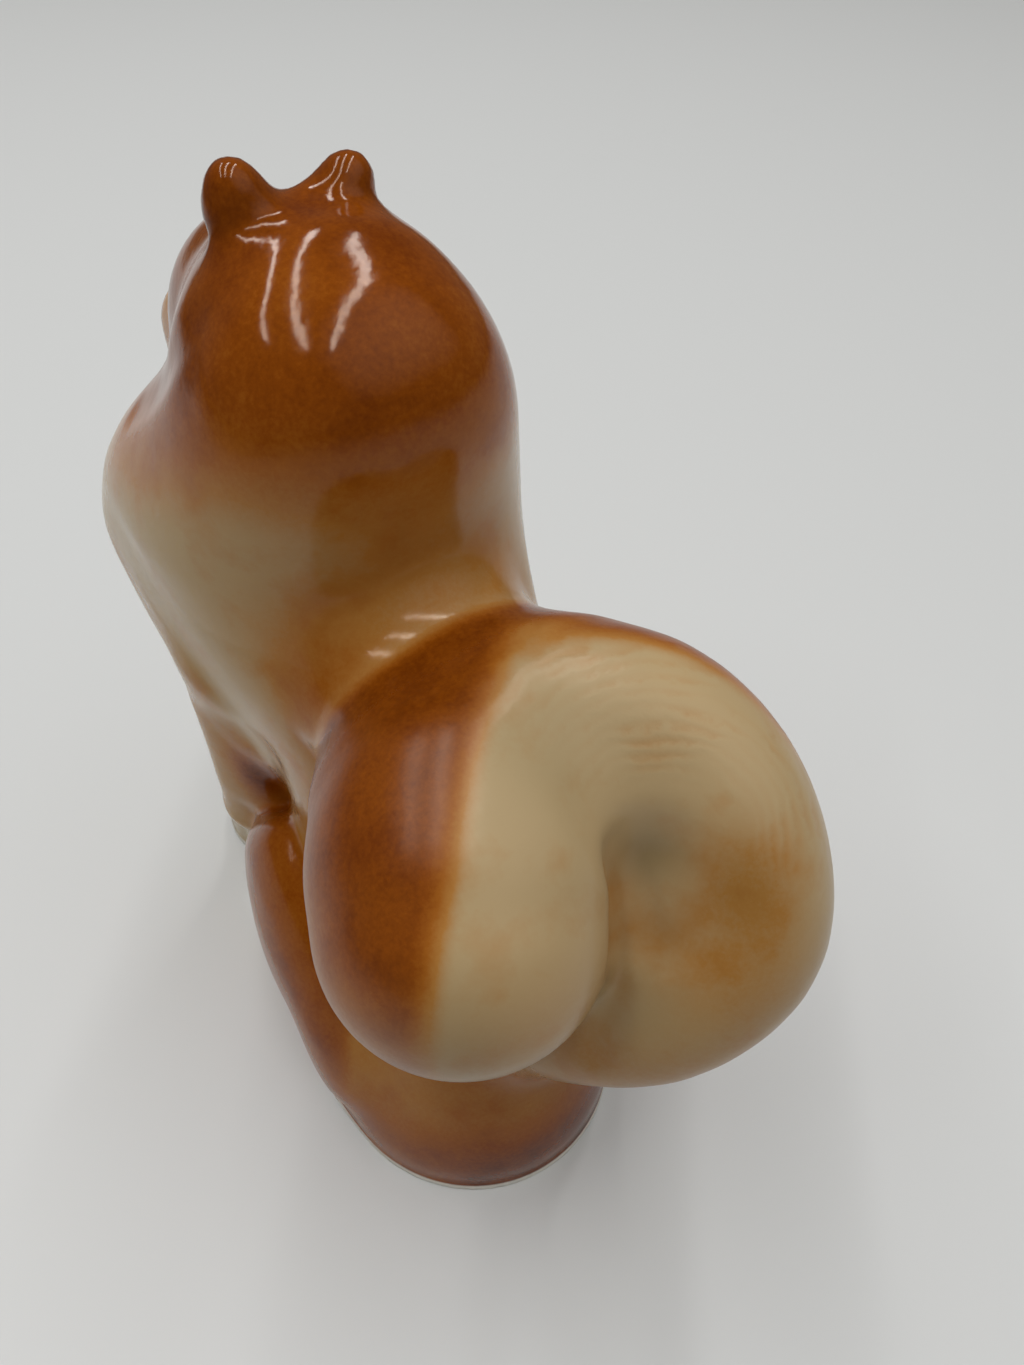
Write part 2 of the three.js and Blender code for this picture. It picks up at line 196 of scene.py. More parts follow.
def rubbed(clay, sigma):
    """Clay with its edges and hollows softened."""
    reach = math.ceil(3 * sigma / CELL)
    weights = np.exp(-0.5 * (np.arange(-reach, reach + 1) * CELL / sigma) ** 2)
    weights /= weights.sum()
    for axis in range(3):
        edges = [(reach, reach) if axis == a else (0, 0) for a in range(3)]
        padded = np.pad(clay, edges, mode="edge")
        clay = sum(weight * np.take(padded, np.arange(step, step + clay.shape[axis]), axis).astype(np.float32)
                   for step, weight in enumerate(weights.astype(np.float32)))
    return clay


def luted(one, other, fillet):
    """Two clays as one, with a fillet of slip where they meet."""
    near = np.clip(fillet - np.abs(one - other), 0, None) / fillet
    return np.minimum(one, other) - near * near * fillet / 4


def sampled(field, points):
    """A field's values at points between its samples."""
    place = points / CELL - CORNER
    base = np.clip(np.floor(place).astype(int), 0, np.array(SHAPE) - 2)
    share = place - base
    total = 0
    for corner in itertools.product((0, 1), repeat=3):
        weight = np.prod(np.where(corner, share, 1 - share), axis=1)
        total = total + weight * field[tuple((base + corner).T)]
    return total


def slope_at(clay, points):
    """The way out of the clay at each point."""
    return np.stack([(sampled(clay, points + CELL * unit) - sampled(clay, points - CELL * unit)) / (2 * CELL)
                     for unit in np.eye(3)], axis=1)


def seated(clay, points):
    """Points moved onto the skin of the clay."""
    points = np.array(points, float)
    for _ in range(4):
        slope = slope_at(clay, points)
        points -= slope * (sampled(clay, points) / np.maximum((slope ** 2).sum(1), 1e-6))[:, None]
    return points


def window(points, room):
    """The part of the grid round some points, and its sample coordinates."""
    first = np.maximum(np.floor((points.min(0) - room) / CELL).astype(int) - CORNER, 0)
    last = np.ceil((points.max(0) + room) / CELL).astype(int) - CORNER + 1
    part = tuple(slice(a, b) for a, b in zip(first, last))
    return part, np.meshgrid(*(SAMPLES[axis][part[axis]] for axis in range(3)), indexing="ij", sparse=True)


def distance_to(path, spots):
    """Distance from spots, three arrays of coordinates, to a line of points."""
    nearest = np.inf
    for start, end in zip(path[:-1], path[1:]):
        along = end - start
        offset = [spots[axis] - start[axis] for axis in range(3)]
        share = np.clip(sum(o * a for o, a in zip(offset, along)) / max(along @ along, 1e-9), 0, 1)
        nearest = np.minimum(nearest, sum((o - share * a) ** 2 for o, a in zip(offset, along)))
    return np.sqrt(nearest)


def score(clay, path, radius, soft):
    """Cuts a groove with a round tool drawn along a path."""
    path = np.asarray(path, float)
    part, spots = window(path, radius + soft + 1)
    clay[part] = -luted(-clay[part], distance_to(path, spots) - radius, soft)


def trough(clay, path, radius, depth, soft):
    """Cuts a groove of a given depth, with a tool wider than it is deep."""
    path = seated(clay, path)
    slope = slope_at(clay, path)
    slope /= np.linalg.norm(slope, axis=1)[:, None]
    deep = depth * np.sin(np.linspace(*TROUGH_ENDS, len(path)) * math.pi)
    score(clay, path + slope * (radius - deep)[:, None], radius, soft)


def sponge(clay, spots, reach, sigma):
    """Wipes the clay smooth about each of some points."""
    for centre in spots:
        part, near = window(np.array([centre]), reach)
        away = np.sqrt(sum((near[axis] - centre[axis]) ** 2 for axis in range(3)))
        share = ramp(reach, reach / 3, away)
        clay[part] += share.astype(np.float32) * (rubbed(clay[part], sigma) - clay[part])


def press_on(clay, path, radius, soft):
    """Lays a round roll of clay along a path."""
    path = np.asarray(path, float)
    part, spots = window(path, radius + soft + 1)
    clay[part] = luted(clay[part], distance_to(path, spots) - radius, np.float32(soft))


def on_head(side, ahead, up):
    """A point of the head, by how far it is to the dog's left, ahead of the pivot and over it."""
    turn = Matrix.Rotation(HEAD_TURN, 3, "Z") @ Matrix.Rotation(HEAD_DROOP, 3, "X")
    pivot = Vector((0, HEAD_PIVOT["y"], CROWN - HEAD_PIVOT["under_crown"]))
    return np.array(pivot + turn @ Vector((side, -ahead, up)))


def mirror_side(path, side):
    return [(side * across, second, third) for across, second, third in path]


def drained_body():
    """The trunk and head as one casting, with the neck joint closed and the hollow filled."""
    clay = np.minimum(clay_from(*node_mesh("trunk_shell")), clay_from(*node_mesh("head_shell")))
    below, above = (int(np.searchsorted(SAMPLES[2], NECK + way * NECK_JOINT)) for way in (-1, 1))
    for level in range(below + 1, above):
        share = (level - below) / (above - below)
        clay[:, :, level] = (1 - share) * clay[:, :, below] + share * clay[:, :, above]
    solid = clay < 0
    walls = np.zeros(SHAPE, np.int8)
    for axis in range(3):
        walls += np.logical_or.accumulate(solid, axis)
        walls += np.flip(np.logical_or.accumulate(np.flip(solid, axis), axis), axis)
    clay[~solid & (walls >= HOLLOW_SIDES)] = -BAND
    points, quads = skin_of(clay)
    return clay_from(points, quads=quads)


def fillet(name, x, y, z):
    """Width of the slip fillet round a casting's joint: the inner side of an ear, the top of a foreleg, the
    back of a haunch and both ends of the tail run smoothly into the body, and the rest meets it in a crease."""
    if name.endswith("ear"):
        middle = (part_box(name)[0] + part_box(name)[1]) / 2 / MM
        edge = EAR_FILLET["edge"]
        inner = ramp(edge, -edge, np.sign(middle.x) * (x - middle.x))
        behind = ramp(-edge, edge, y - middle.y)
        return EAR_FILLET["least"] + EAR_FILLET["wider"] * np.maximum(inner, EAR_FILLET["behind"] * behind)
    if name.endswith("foreleg"):
        return FORELEG_FILLET["least"] + FORELEG_FILLET["wider"] * ramp(*FORELEG_FILLET["height"], z)
    if name.endswith("haunch"):
        behind = ramp(*HAUNCH_FILLET["back"], y) * ramp(*HAUNCH_FILLET["height"], z)
        return HAUNCH_FILLET["least"] + HAUNCH_FILLET["wider"] * behind
    if name == "tail_curl":
        saddle = ramp(*TAIL_FILLET["height"], z) * ramp(*TAIL_FILLET["front"], y)
        root = ramp(*TAIL_FILLET["root_height"], z)
        return TAIL_FILLET["least"] + TAIL_FILLET["saddle"] * saddle + TAIL_FILLET["root"] * root
    return PAW_FILLET


def pared(haunch):
    """A haunch cut off along its slope, with a soft edge."""
    y, z = SAMPLES[1][:, None], SAMPLES[2]
    slope = HAUNCH_SLOPE["z"] + HAUNCH_SLOPE["fall"] * (y - HAUNCH_SLOPE["y"])
    over = (z - slope) / math.hypot(1, HAUNCH_SLOPE["fall"])
    return -luted(-haunch, -over.astype(np.float32), np.float32(HAUNCH_SLOPE["soft"]))


def luted_castings():
    """Each casting, and the clay of them all with slip in their joints."""
    castings = {"body": rubbed(drained_body(), RUBBED["body"])}
    clay = castings["body"]
    for name in JOINED:
        casting = rubbed(clay_from(*node_mesh(name)), RUBBED[name])
        if name.endswith("haunch"):
            casting = pared(casting)
        if name.endswith("foreleg"):
            side = 1 if name.startswith("left") else -1
            for path, radius in FORELEG_ROLLS.values():
                press_on(casting, mirror_side(path, side), radius, ROLL_SOFT)
        castings[name] = casting
        clay = luted(clay, casting, np.float32(fillet(name, *GRID)))
    return castings, clay


def model_face(clay):
    """Presses on the eyes and the nose and scores the mouth: where each of them lies."""
    eyes = list(seated(clay, [on_head(side * EYE["side"], EYE["ahead"], EYE["up"]) for side in SIDES]))
    for eye in eyes:
        press_on(clay, [eye, eye], EYE["radius"], EYE["soft"])
    mouth = [seated(clay, [on_head(*spot) for spot in mirror_side(MOUTH["line"], side)]) for side in SIDES]
    for line in mouth:
        score(clay, line, MOUTH["radius"], MOUTH["soft"])
    nose = np.array([on_head(side * NOSE["half"], NOSE["ahead"], NOSE["up"]) for side in SIDES])
    press_on(clay, nose, NOSE["radius"], NOSE["soft"])
    return eyes, mouth, nose


def model_coat(clay):
    """Works the ruff, the shoulders, the saddle and the curl of the tail."""
    for side in SIDES:
        trough(clay, **{**RUFF_FOLD, "path": mirror_side(RUFF_FOLD["path"], side)})
        sponge(clay, **{**SHOULDER, "spots": mirror_side(SHOULDER["spots"], side)})
    sponge(clay, **CURL_VALLEY)
    sponge(clay, **SADDLE)
    trough(clay, **BRUSH_CREASE)
    trough(clay, **CURL_EYE)


def model_foot(clay):
    """Straightens whatever stands on the table, gives it a rim, parts the toes and opens the vent."""
    heel, rim = (int(np.searchsorted(SAMPLES[2], height)) for height in (HEEL, FOOT_RIM["high"]))
    clay[:, :, :heel] = np.minimum(clay[:, :, :heel], clay[:, :, heel, None])
    clay[:, :, :rim] = np.minimum(clay[:, :, :rim], clay[:, :, heel, None] - FOOT_RIM["out"])
    for node, height in PAW_HEIGHT.items():
        part_toes(clay, node, height)
    vent = [(0, FOOT_VENT["y"], -FOOT_ALLOWANCE), (0, FOOT_VENT["y"], FOOT_VENT["deep"])]
    score(clay, vent, FOOT_VENT["radius"], FOOT_VENT["soft"])


def part_toes(clay, node, height):
    """Grooves between the toes, over the front of a paw."""
    points, _ = node_mesh(node)
    foot = points[points[:, 2] < height]
    middle = (foot[:, 0].min() + foot[:, 0].max()) / 2
    front = foot[:, 1].min()
    for across in TOES["across"]:
        line = [(middle + across, front + TOE_START, TOE_START)]
        line += [(middle + across * close, front + back, height * up) for back, up, close in TOE_LINE]
        score(clay, seated(clay, line), TOES["radius"], TOES["soft"])


def crown_twist():
    x, y, z = GRID
    across, along = x - TWIST["about"][0], y - TWIST["about"][1]
    wave = TWIST["tilt"] * across * np.sin(2 * math.pi * (y - TWIST["start"]) / TWIST["wave"])
    near = np.exp(-(across ** 2 + along ** 2) / TWIST["reach"] ** 2)
    return (wave * near * ramp(*TWIST["height"], z)).astype(np.float32)


def outward_skin(clay):
    """Points and triangles of the skin of the clay, the triangles facing out."""
    points, quads = skin_of(clay)
    points = points + np.clip(seated(clay, points.astype(float)) - points, -CELL / 2, CELL / 2)
    faces = np.concatenate([quads[:, [0, 1, 2]], quads[:, [0, 2, 3]]]).astype(np.int64)
    corners = points[faces[:2000]]
    facing = np.cross(corners[:, 1] - corners[:, 0], corners[:, 2] - corners[:, 0])
    if (facing * slope_at(clay, corners.mean(1))).sum() < 0:
        faces = faces[:, ::-1]
    return points, faces


def parted(points, faces, value):
    """Splits faces along the line where value is nought: all points, the faces under it and those over it."""
    over = value > 0
    count = over[faces].sum(1)
    split = (count == 1) | (count == 2)
    mixed = faces[split]
    lone_over = count[split] == 1
    lone = np.argmax(over[mixed] == lone_over[:, None], axis=1)
    turned = np.take_along_axis(mixed, (lone[:, None] + np.arange(3)) % 3, axis=1)
    crossed = np.sort(np.concatenate([turned[:, :2], turned[:, ::2]]), axis=1)
    edges, which = np.unique(crossed, axis=0, return_inverse=True)
    share = np.clip(value[edges[:, 0]] / (value[edges[:, 0]] - value[edges[:, 1]]), 0.06, 0.94)[:, None]
    fresh = points[edges[:, 0]] * (1 - share) + points[edges[:, 1]] * share
    first, second = which.reshape(2, -1) + len(points)
    tips = np.stack([turned[:, 0], first, second], axis=1)
    rest = np.concatenate([np.stack([first, turned[:, 1], turned[:, 2]], axis=1),
                           np.stack([first, turned[:, 2], second], axis=1)])
    rest_over = np.concatenate([~lone_over, ~lone_over])
    under_faces = np.concatenate([faces[count == 0], tips[~lone_over], rest[~rest_over]])
    over_faces = np.concatenate([faces[count == 3], tips[lone_over], rest[rest_over]])
    return np.concatenate([points, fresh]), under_faces, over_faces


def cut_at_joints(points, faces):
    """The skin cut along its joints: all points, and the faces of each node."""
    pieces = {}
    for place, name in enumerate(JOINED):
        others = [castings["body"]] + [castings[other] for other in JOINED[place + 1:]]
        value = sampled(castings[name], points) - np.min([sampled(other, points) for other in others], axis=0)
        points, pieces[name], faces = parted(points, faces, value)
    points, pieces["trunk_shell"], pieces["head_shell"] = parted(points, faces, points[:, 2] - NECK)
    return points, pieces


castings, clay = luted_castings()
eyes, mouth, nose = model_face(clay)
model_coat(clay)
model_foot(clay)
clay += crown_twist()
clay = np.maximum(rubbed(clay, GLAZE_FLOW), -GRID[2].astype(np.float32))

points, pieces = cut_at_joints(*outward_skin(clay))
normals = slope_at(clay, points)
normals /= np.linalg.norm(normals, axis=1)[:, None]
depths = {name: sampled(field, points) for name, field in castings.items()}
# How hollow the skin is, from the difference between the clay and a more rubbed copy of it.
HOLLOW = {"sigma": 1.4, "full": 0.25}
hollow = -sampled(rubbed(clay, HOLLOW["sigma"]), points) / HOLLOW["full"]

# Soft puffs of rust spray: how much of a coat, about which point, and how far they reach.
BODY_PUFFS = {
    "crown": (0.3, (3, -6, 86), (8, 8, 6)),
    "between_ears": (0.25, (0, -19, 92), (5, 4, 4)),
    "nape": (0.3, (-1, -5.5, 77), (10, 7, 6)),
    "back": (0.3, (0, -6, 62), (13, 9, 8)),
    "left_of_back": (0.4, (8, -6, 59.5), (3.5, 5, 6)),
}
BRUSH_PUFFS = {
    "by_saddle": (0.4, (2, -1, 65), (9, 5, 5)),
    "ring": (0.25, (-12.6, 23.2, 54.2), (3.4, 4.2, 5.8)),
    "under_ring": (0.18, (-10.4, 26.5, 46.5), (7, 6, 6)),
    "left_of_brush": (0.15, (9, 24, 50), (9, 6, 6)),
}
LEG_SPOT = {"coat": 0.95, "at": (12.4, -23.2, 34.8), "reach": (2.2, 4.0, 5.6)}
# Coats with an edge: how much of a coat, and where the edge starts and ends. Pale is a share left out.
CAP = {"coat": 0.76, "level": 80.5, "lean": 0.35, "behind": -9, "edge": (-7, 6)}
MUZZLE = {"pale": 0.7, "ahead": (13, 19)}
# The rump's rust thins higher up; it is paler on its left side, a painted sheen.
RUMP = {"thin": 0.6, "rise": (6, 17), "back": (-22, -6), "top": (24, 34), "pale": 0.35, "left": (5, 14)}
FLANK = {"coat": 0.3, "rise": (18, 34), "top": (44, 60), "back": (-20, -4)}
PLUME = {"coat": 0.45, "top": 0.4, "rise": (50, 60), "across": (0.75, -0.66), "edge": (-5.6, -2.0)}
BRUSH_FRONT = {"coat": 0.8, "facing": (-0.45, -0.75, -0.1), "edge": (-0.12, 0.35)}
BRUSH_SEAM = {"coat": 0.18, "hollow": (0.6, 1.6), "at": (-4, 19, 50), "reach": (7, 7, 8)}
# Rust sprayed low on the tail: partly the brush's own colour, partly painted shade on its underside.
TAIL_ROOT = {"coat": 0.2, "fall": (45, 37)}
THIGH = {"coat": 0.68, "knee": 0.35, "forward": (-14, -30), "under": (34, 12), "low": 0.15, "fall": (18, 6)}
FORELEG = {"coat": 0.12, "rise": (12, 26)}
HIND_PAW_COAT = 0.05
EAR_COAT = 0.86
# Tail paint starts some way inside its joint: how soft its edge is, and how far in.
TAIL_EDGE = (1.5, 2.5)
# The tan wash thins out on the chest and low on the paws, and on the tail.
WASH = {"chest": 0.4, "forward": (-34, -48), "paws": 0.5, "fall": (18, 6), "front": (-20, -32), "tail": 0.85}
# Grey sprayed over the colour, painted shade: in the eye of the curl, on the ring and the brush, under the
# brush, and low on the rump under the tail.
SMOKE_PUFFS = {
    "eye": (0.75, (-8.2, 16.4, 54), (2.6, 3, 2.8)),
    "ring": (0.25, (-12, 23, 53), (5, 5, 8)),
    "ring_patch": (0.4, (-12.6, 23.2, 54.2), (3.0, 3.8, 5.2)),
    "brush_top": (0.35, (-1, 8.9, 65.6), (8, 8, 6)),
    "brush_side": (0.6, (12, 23, 51), (5, 8, 6)),
}
BRUSH_UNDER = {"coat": 0.5, "fall": (56, 42)}
# The tail's painted shadow, low on the rump.
RUMP_SMOKE = (0.4, (0, 14, 18), (16, 10, 9))
# The curl's axis, and the part of it where moulded strands show.
CURL = {"eye": np.array((-8.0, 16.0, 54.0)), "facing": np.array((0.2, 0.72, 0.664)),
        "combed": np.array((-0.59, -0.05, 0.806)), "sector": (0.0, 0.8), "out": (4.5, 9), "front": (0.2, 0.6)}
# Colour is sprayed deeper in the creases, for glaze pooling and as painted shade, but less on the tail: the
# share left out there.
POOL_OFF_TAIL = 0.8
# The glaze is less sharp on the tail, and a little less from the ruff down.
SOFT_TAIL = {"rough": 0.13, "edge": (3.0, 5.0)}
SOFT_BODY = {"rough": 0.06, "fall": (84, 76)}


def puff(coat, centre, reach):
    """A soft round spray about a point, by distance over its reach."""
    return coat * np.exp(-(((points - np.array(centre)) / np.array(reach)) ** 2).sum(1))


def sprayed(*coats):
    """Coats of colour one over the other."""
    bare = np.ones(len(points))
    for coat in coats:
        bare = bare * (1 - np.clip(coat, 0, 1))
    return 1 - bare


def nearness(name, width=1.0, inside=0.0):
    """How much a spot belongs to one casting, from some way inside its joint."""
    others = np.min([depth for key, depth in depths.items() if key != name], axis=0)
    return ramp(inside - width, inside + width, others - depths[name])


def near_pair(kind, width=1.0):
    """How much a spot belongs to the left or the right casting of a kind."""
    return np.clip(nearness("left_" + kind, width) + nearness("right_" + kind, width), 0, 1)


def body_spray():
    x, y, z = points.T
    lean = CAP["lean"] * np.clip(CAP["behind"] - y, 0, None)
    cap = CAP["coat"] * ramp(*CAP["edge"], z - (CAP["level"] - lean))
    pivot = on_head(0, 0, 0)
    muzzle = ramp(*MUZZLE["ahead"], (points - pivot) @ (on_head(0, 1, 0) - pivot))
    rump = (1 - RUMP["thin"] * ramp(*RUMP["rise"], z)) * ramp(*RUMP["back"], y)
    # Paler on the rump's left side: painted sheen.
    rump = rump * (1 - ramp(*RUMP["top"], z)) * (1 - RUMP["pale"] * ramp(*RUMP["left"], x))
    flank = FLANK["coat"] * ramp(*FLANK["rise"], z) * (1 - ramp(*FLANK["top"], z)) * ramp(*FLANK["back"], y)
    puffs = [puff(*spray) for spray in BODY_PUFFS.values()]
    return sprayed(cap * (1 - MUZZLE["pale"] * muzzle), *puffs, rump, flank)


def brush_spray():
    x, y, z = points.T
    plume = ramp(*PLUME["edge"], PLUME["across"][0] * x + PLUME["across"][1] * y)
    plume = plume * (PLUME["coat"] + PLUME["top"] * ramp(*PLUME["rise"], z))
    front = BRUSH_FRONT["coat"] * ramp(*BRUSH_FRONT["edge"], normals @ np.array(BRUSH_FRONT["facing"]))
    seam = puff(BRUSH_SEAM["coat"], BRUSH_SEAM["at"], BRUSH_SEAM["reach"]) * ramp(*BRUSH_SEAM["hollow"], hollow)
    # Partly painted shade, low on the tail.
    root = TAIL_ROOT["coat"] * ramp(*TAIL_ROOT["fall"], z)
    puffs = [puff(*spray) for spray in BRUSH_PUFFS.values()]
    return sprayed(plume, front, *puffs, seam, root)


def rust_spray():
    """Coats of rust on each casting, and a spot behind each elbow."""
    y, z = points[:, 1], points[:, 2]
    thigh = THIGH["coat"] - THIGH["knee"] * ramp(*THIGH["forward"], y) * ramp(*THIGH["under"], z) \
        - THIGH["low"] * ramp(*THIGH["fall"], z)
    foreleg = FORELEG["coat"] * ramp(*FORELEG["rise"], z)
    pigment = body_spray()
    for share, coat in ((near_pair("foreleg", 3.0), foreleg), (near_pair("haunch"), thigh),
                        (near_pair("hind_paw"), HIND_PAW_COAT),
                        (nearness("tail_curl", *TAIL_EDGE), brush_spray()), (near_pair("ear", 2.0), EAR_COAT)):
        pigment = pigment * (1 - share) + coat * share
    spots = mirror_side([LEG_SPOT["at"]], 1) + mirror_side([LEG_SPOT["at"]], -1)
    return sprayed(pigment, *(puff(LEG_SPOT["coat"], spot, LEG_SPOT["reach"]) for spot in spots))


def tan_wash():
    y, z = points[:, 1], points[:, 2]
    tail = nearness("tail_curl")
    chest = WASH["chest"] * ramp(*WASH["forward"], y) * (1 - near_pair("foreleg", 4.0))
    paws = WASH["paws"] * ramp(*WASH["fall"], z) * ramp(*WASH["front"], y)
    return np.clip(1 - chest - paws, 0, 1) * (1 - tail) + WASH["tail"] * tail


# Painted shade: grey on the tail's hollows and underside, and the tail's painted shadow on the rump.
def grey_smoke():
    under = BRUSH_UNDER["coat"] * ramp(*BRUSH_UNDER["fall"], points[:, 2])
    brush = sprayed(*(puff(*smoke) for smoke in SMOKE_PUFFS.values()), under)
    return np.maximum(nearness("tail_curl", *TAIL_EDGE) * brush, puff(*RUMP_SMOKE))


def strand_lines():
    """How far a spot is from the axis of the curl, and how plainly the moulded strands show there."""
    away = points - CURL["eye"]
    away -= np.outer(away @ CURL["facing"], CURL["facing"])
    radius = np.linalg.norm(away, axis=1)
    sector = ramp(*CURL["sector"], away @ CURL["combed"] / radius)
    shown = sector * ramp(*CURL["out"], radius) * ramp(*CURL["front"], normals @ CURL["facing"])
    return radius, shown * nearness("tail_curl", *TAIL_EDGE)


def ink_distance():
    """Distance to the edge of the ink on the eyes, the mouth and the nose."""
    spots = list(points.T)
    shapes = [distance_to(np.array([eye, eye]), spots) - EYE["radius"] * EYE["ink"] for eye in eyes]
    shapes += [distance_to(line, spots) - MOUTH["ink"] for line in mouth]
    shapes.append(distance_to(nose, spots) - NOSE["radius"] * NOSE["ink"])
    return np.min(shapes, axis=0)


def crease_depth():
    return hollow * (1 - POOL_OFF_TAIL * nearness("tail_curl"))


def soft_gloss():
    return SOFT_TAIL["rough"] * nearness("tail_curl", *SOFT_TAIL["edge"]) \
        + SOFT_BODY["rough"] * ramp(*SOFT_BODY["fall"], points[:, 2])


curl, strand = strand_lines()
paint = {
    "pigment": rust_spray(), "wash": tan_wash(), "smoke": grey_smoke(), "crease": crease_depth(),
    "ink": ink_distance(), "curl": curl, "strand": strand, "soft": soft_gloss(),
}


def shader_node(tree, kind, inputs=(), **settings):
    made = tree.nodes.new(kind)
    for key, value in settings.items():
        setattr(made, key, value)
    for key, value in dict(inputs).items():
        if isinstance(value, bpy.types.NodeSocket):
            tree.links.new(value, made.inputs[key])
        else:
            made.inputs[key].default_value = value
    return made


def math_node(tree, operation, *values):
    return shader_node(tree, "ShaderNodeMath", dict(enumerate(values)), operation=operation).outputs[0]


def map_range(tree, value, low, high, start=0.0, end=1.0, **settings):
    inputs = {"Value": value, "From Min": low, "From Max": high, "To Min": start, "To Max": end}
    return shader_node(tree, "ShaderNodeMapRange", inputs, **settings).outputs[0]


def mix_colour(tree, factor, one, other, how="MIX"):
    made = shader_node(tree, "ShaderNodeMix", {"Factor": factor, "A": one, "B": other},
                       data_type="RGBA", blend_type=how)
    return made.outputs["Result"]


# Sprayed pigment lets through this share of the light for a full coat, over porcelain or the tan wash.
# The bend keeps thin coats light in red.
PORCELAIN = (0.60, 0.53, 0.40, 1)
TAN = (0.485, 0.335, 0.155, 1)
FULL_COAT = (0.34, 0.095, 0.003)
COAT_BEND = (1.7, 1.0, 1.0)
COAT_STEPS = 5
RAMP_PER_COAT = 0.8
# The grey of the painted shade.
SMOKE = (0.5, 0.58, 0.58, 1)
INK = (0.012, 0.009, 0.008, 1)
INK_EDGE = 0.12
BISCUIT = (0.80, 0.77, 0.70, 1)
BARE_FOOT = {"height": (0.0012, 0.0009), "rough": 0.6}
# Unevenness of the spray: broad mottle, fine grain, and the glaze's own waviness.
NOISES = {"mottle": {"Scale": 170, "Detail": 5, "Roughness": 0.6},
          "grain": {"Scale": 2300, "Detail": 3, "Roughness": 0.7},
          "peel": {"Scale": 420, "Detail": 2}}
SPRAY = {"mottle": 0.55, "dust": 0.6, "drift": 0.5, "pool": 0.1}
STRAND = {"turn": 2 * math.pi / 1.1, "stray": 20.0, "patch": (-0.12, 0.12, 0.1, 1.4), "tint": 0.022,
          "sunk": -0.2}
GLOSS = {"rough": 0.07, "grain": 0.06, "grain_height": 0.1}
GLAZE = {"IOR": 1.52, "Specular Tint": (1, 0.84, 0.7, 1)}
GLAZE_BUMP = {"Strength": 0.12, "Distance": 0.0004}


def airbrushed_porcelain():
    """Sprayed colour under the glaze: takes the coats at a spot and gives its colour, roughness and height."""
    group = bpy.data.node_groups.new("airbrushed_porcelain", "ShaderNodeTree")
    for name in paint:
        group.interface.new_socket(name.capitalize(), in_out="INPUT", socket_type="NodeSocketFloat")
    group.interface.new_socket("Colour", in_out="OUTPUT", socket_type="NodeSocketColor")
    for name in ("Roughness", "Height"):
        group.interface.new_socket(name, in_out="OUTPUT", socket_type="NodeSocketFloat")
    inside = group.nodes.new("NodeGroupInput").outputs
    place = group.nodes.new("ShaderNodeTexCoord").outputs["Object"]
    mottle, grain, peel = (shader_node(group, "ShaderNodeTexNoise", {"Vector": place, **NOISES[name]}).outputs[0]
                           for name in ("mottle", "grain", "peel"))

    def add(one, other):
        return math_node(group, "ADD", one, other)

    def times(one, other):
        return math_node(group, "MULTIPLY", one, other)

    spread = add(mottle, -0.5)
    dust = add(grain, -0.5)
    uneven = add(times(spread, SPRAY["mottle"]), times(dust, SPRAY["dust"]))
    coat = times(inside["Pigment"], add(uneven, 1.0))
    drift = math_node(group, "MAXIMUM", times(times(inside["Wash"], spread), SPRAY["drift"]), 0.0)
    # Deeper colour in the creases: glaze pooling and painted shade.
    pool = times(math_node(group, "MAXIMUM", inside["Crease"], 0.0), SPRAY["pool"])
    turn = add(times(inside["Curl"], STRAND["turn"]), times(spread, STRAND["stray"]))
    patchy = map_range(group, spread, *STRAND["patch"])
    strand = times(math_node(group, "SINE", turn), times(inside["Strand"], patchy))
    total = add(add(add(coat, drift), pool), times(strand, STRAND["tint"]))

    filtered = shader_node(group, "ShaderNodeValToRGB", {"Fac": times(total, RAMP_PER_COAT)})
    stops = filtered.color_ramp.elements
    for step in range(1, COAT_STEPS):
        stops.new(step / COAT_STEPS)
    for step, stop in enumerate(stops):
        stop.position = step / COAT_STEPS
        coats = stop.position / RAMP_PER_COAT
        stop.color = (*(share ** (coats ** bend) for share, bend in zip(FULL_COAT, COAT_BEND)), 1)
    ground = mix_colour(group, inside["Wash"], PORCELAIN, TAN)
    colour = mix_colour(group, 1.0, ground, filtered.outputs["Color"], "MULTIPLY")
    # Painted shade: grey multiplied into the colour.
    colour = mix_colour(group, inside["Smoke"], colour, SMOKE, "MULTIPLY")
    colour = mix_colour(group, map_range(group, inside["Ink"], INK_EDGE, -INK_EDGE), colour, INK)
    height = shader_node(group, "ShaderNodeSeparateXYZ", {0: place}).outputs["Z"]
    bare = map_range(group, height, *BARE_FOOT["height"])
    colour = mix_colour(group, bare, colour, BISCUIT)

    gloss = add(add(times(grain, GLOSS["grain"]), GLOSS["rough"]), inside["Soft"])
    skin = add(peel, times(grain, GLOSS["grain_height"]))
    ends = group.nodes.new("NodeGroupOutput").inputs
    group.links.new(colour, ends["Colour"])
    group.links.new(add(gloss, times(bare, BARE_FOOT["rough"])), ends["Roughness"])
    group.links.new(add(skin, times(strand, STRAND["sunk"])), ends["Height"])
    return group


def glaze(name, group, shine):
    """A clear glaze over the sprayed colour."""
    material = bpy.data.materials.new(name)
    material.use_nodes = True
    tree = material.node_tree
    tree.nodes.clear()
    coats = {key.capitalize(): shader_node(tree, "ShaderNodeAttribute", attribute_name=key).outputs["Fac"]
             for key in paint}
    sprayed_colour = shader_node(tree, "ShaderNodeGroup", node_tree=group)
    for key, value in coats.items():
        tree.links.new(value, sprayed_colour.inputs[key])
    ends = sprayed_colour.outputs
    bump = shader_node(tree, "ShaderNodeBump", {**GLAZE_BUMP, "Height": ends["Height"]})
    skin = shader_node(tree, "ShaderNodeBsdfPrincipled", {
        **GLAZE, "Base Color": ends["Colour"], "Roughness": ends["Roughness"], "Normal": bump.outputs[0],
        "Specular IOR Level": shine})
    out = shader_node(tree, "ShaderNodeOutputMaterial", {"Surface": skin.outputs[0]})
    out.is_active_output = True
    return material


